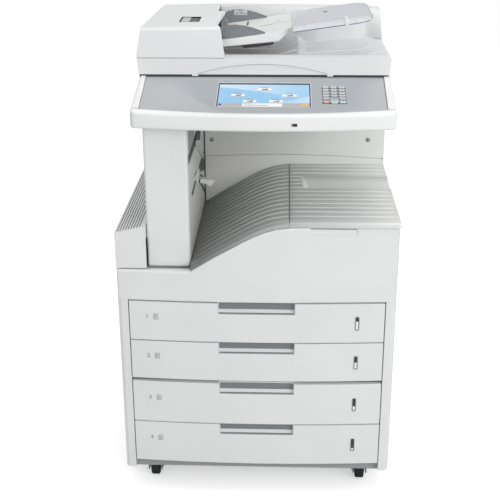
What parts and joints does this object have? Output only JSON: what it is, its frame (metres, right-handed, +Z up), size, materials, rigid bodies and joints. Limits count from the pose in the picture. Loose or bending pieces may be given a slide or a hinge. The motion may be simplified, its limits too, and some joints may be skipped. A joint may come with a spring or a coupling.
{
  "type": "photocopier",
  "caption": "Floor-standing photocopier with a hinged document feeder and scanner lid, tilted touch panel with keypad, side-opening output bay, paper drawers and swivel casters.",
  "frame": {"origin": "on the floor, under the centre of the bounding box", "axes": "+Z up, front (operator's side) towards -Y, +X to the operator's right"},
  "size_m": [0.653, 0.641, 1.1436],
  "materials": {
    "white_cover": "fine satin texture",
    "panel_white": "smooth satin",
    "shade_cover": "fine satin texture",
    "slate_fascia": "satin",
    "steel": "zinc plated",
    "frame_metal": "satin",
    "clear_glass": "polished",
    "display_glass": "gloss",
    "dark_plastic": "satin",
    "guide_grey": "satin",
    "smoke_plastic": "translucent",
    "black_rubber": "matt",
    "foam_white": "soft backed sheet",
    "drum_coat": "mirror smooth",
    "key_grey": "satin",
    "key_red": "satin",
    "key_teal": "satin"
  },
  "bodies": {
    "body": {"chassis": "frame_metal", "right_cover": "white_cover", "left_cover": "white_cover", "rear_cover": "shade_cover", "output_tray_left": "shade_cover", "output_tray_right": "shade_cover", "bay_rear_panel": "shade_cover", "bay_lower_panel": "shade_cover", "left_column": "white_cover", "scanner_base": "white_cover", "platen_glass": "clear_glass", "lid_hinges": "steel", "panel_housing": "panel_white", "panel_fascia": "slate_fascia", "touch_screen": "display_glass", "toner_cartridge": "dark_plastic"},
    "lid": {"platen_lid": "white_cover", "platen_pad": "foam_white"},
    "feeder_cover": {"adf_cover": "white_cover"},
    "feeder_roller": {"adf_roller": "black_rubber"},
    "input_tray": {"adf_input_tray": "white_cover"},
    "tray_extension": {"adf_tray_extension": "smoke_plastic"},
    "front_guide": {"guide_front": "guide_grey"},
    "rear_guide": {"guide_rear": "guide_grey"},
    "carriage": {"scan_carriage": "dark_plastic"},
    "drum": {"photoconductor_drum": "drum_coat"},
    "exit_roller": {"exit_roller": "black_rubber"},
    "exit_flag": {"exit_flag": "white_cover"},
    "front_door": {"front_door": "white_cover"},
    "left_door": {"left_door": "white_cover"},
    "mp_tray": {"mp_tray": "white_cover"},
    "drawer_1": {"drawer_1": "white_cover"},
    "drawer_2": {"drawer_2": "white_cover"},
    "drawer_3": {"drawer_3": "white_cover"},
    "drawer_4": {"drawer_4": "white_cover"},
    "fork_front_left": {"caster_fork_front_left": "steel"},
    "wheel_front_left": {"caster_wheel_front_left": "black_rubber"},
    "fork_front_right": {"caster_fork_front_right": "steel"},
    "wheel_front_right": {"caster_wheel_front_right": "black_rubber"},
    "fork_rear_left": {"caster_fork_rear_left": "steel"},
    "wheel_rear_left": {"caster_wheel_rear_left": "black_rubber"},
    "fork_rear_right": {"caster_fork_rear_right": "steel"},
    "wheel_rear_right": {"caster_wheel_rear_right": "black_rubber"},
    "key_1": {"key_1": "key_grey"},
    "key_2": {"key_2": "key_grey"},
    "key_3": {"key_3": "key_grey"},
    "key_4": {"key_4": "key_grey"},
    "key_5": {"key_5": "key_grey"},
    "key_6": {"key_6": "key_grey"},
    "key_7": {"key_7": "key_grey"},
    "key_8": {"key_8": "key_grey"},
    "key_9": {"key_9": "key_grey"},
    "key_star": {"key_star": "key_grey"},
    "key_0": {"key_0": "key_grey"},
    "key_hash": {"key_hash": "key_grey"},
    "key_clear": {"key_clear": "key_grey"},
    "key_pause": {"key_pause": "key_grey"},
    "key_stop": {"key_stop": "key_red"},
    "key_start": {"key_start": "key_teal"},
    "key_help": {"key_help": "key_grey"}
  },
  "joints": [
    {"name": "lid_hinge", "type": "hinge", "parent": "body", "child": "lid", "pos_m": [0, 0.281, 1.0335], "axis": [-1, 0, 0], "range_deg": [0, 62]},
    {"name": "feeder_cover_hinge", "type": "hinge", "parent": "lid", "child": "feeder_cover", "pos_m": [-0.283, 0, 1.0586], "axis": [0, -1, 0], "range_deg": [0, 60]},
    {"name": "front_door_hinge", "type": "hinge", "parent": "body", "child": "front_door", "pos_m": [0, -0.302, 0.5272], "axis": [1, 0, 0], "range_deg": [0, 88]},
    {"name": "drawer_1_slide", "type": "slide", "parent": "body", "child": "drawer_1", "axis": [0, -1, 0], "range_m": [0, 0.35]},
    {"name": "drawer_2_slide", "type": "slide", "parent": "body", "child": "drawer_2", "axis": [0, -1, 0], "range_m": [0, 0.35]},
    {"name": "drawer_3_slide", "type": "slide", "parent": "body", "child": "drawer_3", "axis": [0, -1, 0], "range_m": [0, 0.35]},
    {"name": "drawer_4_slide", "type": "slide", "parent": "body", "child": "drawer_4", "axis": [0, -1, 0], "range_m": [0, 0.35]},
    {"name": "left_door_hinge", "type": "hinge", "parent": "body", "child": "left_door", "pos_m": [-0.3265, 0, 0.33], "axis": [0, -1, 0], "range_deg": [0, 35]},
    {"name": "mp_tray_hinge", "type": "hinge", "parent": "left_door", "child": "mp_tray", "pos_m": [-0.3265, 0, 0.4], "axis": [0, -1, 0], "range_deg": [0, 75]},
    {"name": "input_tray_hinge", "type": "hinge", "parent": "lid", "child": "input_tray", "pos_m": [-0.086, 0, 1.082], "axis": [0, -1, 0], "range_deg": [0, 16]},
    {"name": "tray_extension_slide", "type": "slide", "parent": "input_tray", "child": "tray_extension", "axis": [0.9903, 0, 0.1386], "range_m": [-0.055, 0]},
    {"name": "front_guide_slide", "type": "slide", "parent": "input_tray", "child": "front_guide", "axis": [0, 1, 0], "range_m": [0, 0.09]},
    {"name": "rear_guide_slide", "type": "slide", "parent": "input_tray", "child": "rear_guide", "axis": [0, 1, 0], "range_m": [-0.09, 0]},
    {"name": "carriage_slide", "type": "slide", "parent": "body", "child": "carriage", "axis": [1, 0, 0], "range_m": [0, 0.4]},
    {"name": "exit_flag_pivot", "type": "hinge", "parent": "body", "child": "exit_flag", "pos_m": [-0.146, 0, 0.728], "axis": [0, 1, 0], "range_deg": [-20, 25]},
    {"name": "feeder_roller_spin", "type": "hinge", "parent": "lid", "child": "feeder_roller", "pos_m": [-0.118, 0, 1.097], "axis": [0, 1, 0], "continuous": true},
    {"name": "drum_spin", "type": "hinge", "parent": "body", "child": "drum", "pos_m": [0.04, 0, 0.6], "axis": [0, 1, 0], "continuous": true},
    {"name": "exit_roller_spin", "type": "hinge", "parent": "body", "child": "exit_roller", "pos_m": [-0.17, 0, 0.741], "axis": [0, 1, 0], "continuous": true},
    {"name": "swivel_front_left", "type": "hinge", "parent": "body", "child": "fork_front_left", "pos_m": [-0.262, -0.232, 0.0613], "axis": [0, 0, 1], "continuous": true},
    {"name": "roll_front_left", "type": "hinge", "parent": "fork_front_left", "child": "wheel_front_left", "pos_m": [-0.262, -0.216, 0.026], "axis": [1, 0, 0], "continuous": true},
    {"name": "swivel_front_right", "type": "hinge", "parent": "body", "child": "fork_front_right", "pos_m": [0.262, -0.232, 0.0613], "axis": [0, 0, 1], "continuous": true},
    {"name": "roll_front_right", "type": "hinge", "parent": "fork_front_right", "child": "wheel_front_right", "pos_m": [0.262, -0.216, 0.026], "axis": [1, 0, 0], "continuous": true},
    {"name": "swivel_rear_left", "type": "hinge", "parent": "body", "child": "fork_rear_left", "pos_m": [-0.262, 0.24, 0.0613], "axis": [0, 0, 1], "continuous": true},
    {"name": "roll_rear_left", "type": "hinge", "parent": "fork_rear_left", "child": "wheel_rear_left", "pos_m": [-0.262, 0.256, 0.026], "axis": [1, 0, 0], "continuous": true},
    {"name": "swivel_rear_right", "type": "hinge", "parent": "body", "child": "fork_rear_right", "pos_m": [0.262, 0.24, 0.0613], "axis": [0, 0, 1], "continuous": true},
    {"name": "roll_rear_right", "type": "hinge", "parent": "fork_rear_right", "child": "wheel_rear_right", "pos_m": [0.262, 0.256, 0.026], "axis": [1, 0, 0], "continuous": true},
    {"name": "key_1_press", "type": "slide", "parent": "body", "child": "key_1", "axis": [0, 0.2181, -0.9759], "range_m": [0, 0.0012]},
    {"name": "key_2_press", "type": "slide", "parent": "body", "child": "key_2", "axis": [0, 0.2181, -0.9759], "range_m": [0, 0.0012]},
    {"name": "key_3_press", "type": "slide", "parent": "body", "child": "key_3", "axis": [0, 0.2181, -0.9759], "range_m": [0, 0.0012]},
    {"name": "key_4_press", "type": "slide", "parent": "body", "child": "key_4", "axis": [0, 0.2181, -0.9759], "range_m": [0, 0.0012]},
    {"name": "key_5_press", "type": "slide", "parent": "body", "child": "key_5", "axis": [0, 0.2181, -0.9759], "range_m": [0, 0.0012]},
    {"name": "key_6_press", "type": "slide", "parent": "body", "child": "key_6", "axis": [0, 0.2181, -0.9759], "range_m": [0, 0.0012]},
    {"name": "key_7_press", "type": "slide", "parent": "body", "child": "key_7", "axis": [0, 0.2181, -0.9759], "range_m": [0, 0.0012]},
    {"name": "key_8_press", "type": "slide", "parent": "body", "child": "key_8", "axis": [0, 0.2181, -0.9759], "range_m": [0, 0.0012]},
    {"name": "key_9_press", "type": "slide", "parent": "body", "child": "key_9", "axis": [0, 0.2181, -0.9759], "range_m": [0, 0.0012]},
    {"name": "key_star_press", "type": "slide", "parent": "body", "child": "key_star", "axis": [0, 0.2181, -0.9759], "range_m": [0, 0.0012]},
    {"name": "key_0_press", "type": "slide", "parent": "body", "child": "key_0", "axis": [0, 0.2181, -0.9759], "range_m": [0, 0.0012]},
    {"name": "key_hash_press", "type": "slide", "parent": "body", "child": "key_hash", "axis": [0, 0.2181, -0.9759], "range_m": [0, 0.0012]},
    {"name": "key_clear_press", "type": "slide", "parent": "body", "child": "key_clear", "axis": [0, 0.2181, -0.9759], "range_m": [0, 0.0012]},
    {"name": "key_pause_press", "type": "slide", "parent": "body", "child": "key_pause", "axis": [0, 0.2181, -0.9759], "range_m": [0, 0.0012]},
    {"name": "key_stop_press", "type": "slide", "parent": "body", "child": "key_stop", "axis": [0, 0.2181, -0.9759], "range_m": [0, 0.0012]},
    {"name": "key_start_press", "type": "slide", "parent": "body", "child": "key_start", "axis": [0, 0.2181, -0.9759], "range_m": [0, 0.0012]},
    {"name": "key_help_press", "type": "slide", "parent": "body", "child": "key_help", "axis": [0, 0.2181, -0.9759], "range_m": [0, 0.0012]}
  ],
  "couplings": [
    {"joint": "rear_guide_slide", "follows": "front_guide_slide", "ratio": -1}
  ]
}
